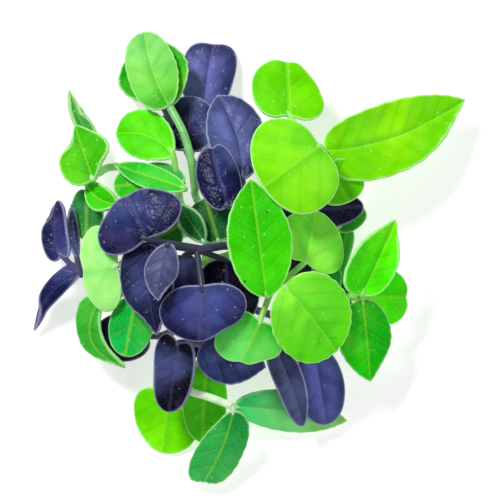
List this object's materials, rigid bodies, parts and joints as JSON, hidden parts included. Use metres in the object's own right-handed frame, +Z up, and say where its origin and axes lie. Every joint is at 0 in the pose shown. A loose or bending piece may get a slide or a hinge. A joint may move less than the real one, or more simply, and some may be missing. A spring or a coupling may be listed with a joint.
{
  "type": "basil microgreens",
  "caption": "Loose heap of cut basil seedlings, green and purple, with oval seed leaves, pointed young leaves and thin stems, lying on a surface.",
  "frame": {"origin": "centre of the heap's box in plan, on the surface that it lies on", "axes": "+Z up from the surface, +Y towards the top edge of the picture, +X towards its right edge"},
  "size_m": [0.0544, 0.057, 0.0168],
  "materials": {
    "green_leaf": "fresh green leaf, satin, paler underneath",
    "purple_leaf": "dark purple leaf, satin, with glossy highlights"
  },
  "bodies": {
    "root": {"green_crown": "green_leaf", "green_right": "green_leaf", "green_top": "green_leaf", "green_upright": "green_leaf", "green_upper_left": "green_leaf", "green_left": "green_leaf", "pale_left": "green_leaf", "green_lower_left": "green_leaf", "green_bottom": "green_leaf", "green_bottom_left": "green_leaf", "green_under_right": "green_leaf", "green_centre": "green_leaf", "purple_centre": "purple_leaf", "purple_bottom": "purple_leaf", "purple_bottom_right": "purple_leaf", "purple_top": "purple_leaf", "purple_upper": "purple_leaf", "purple_left": "purple_leaf", "purple_under_right": "purple_leaf", "purple_under_left": "purple_leaf"}
  },
  "joints": []
}
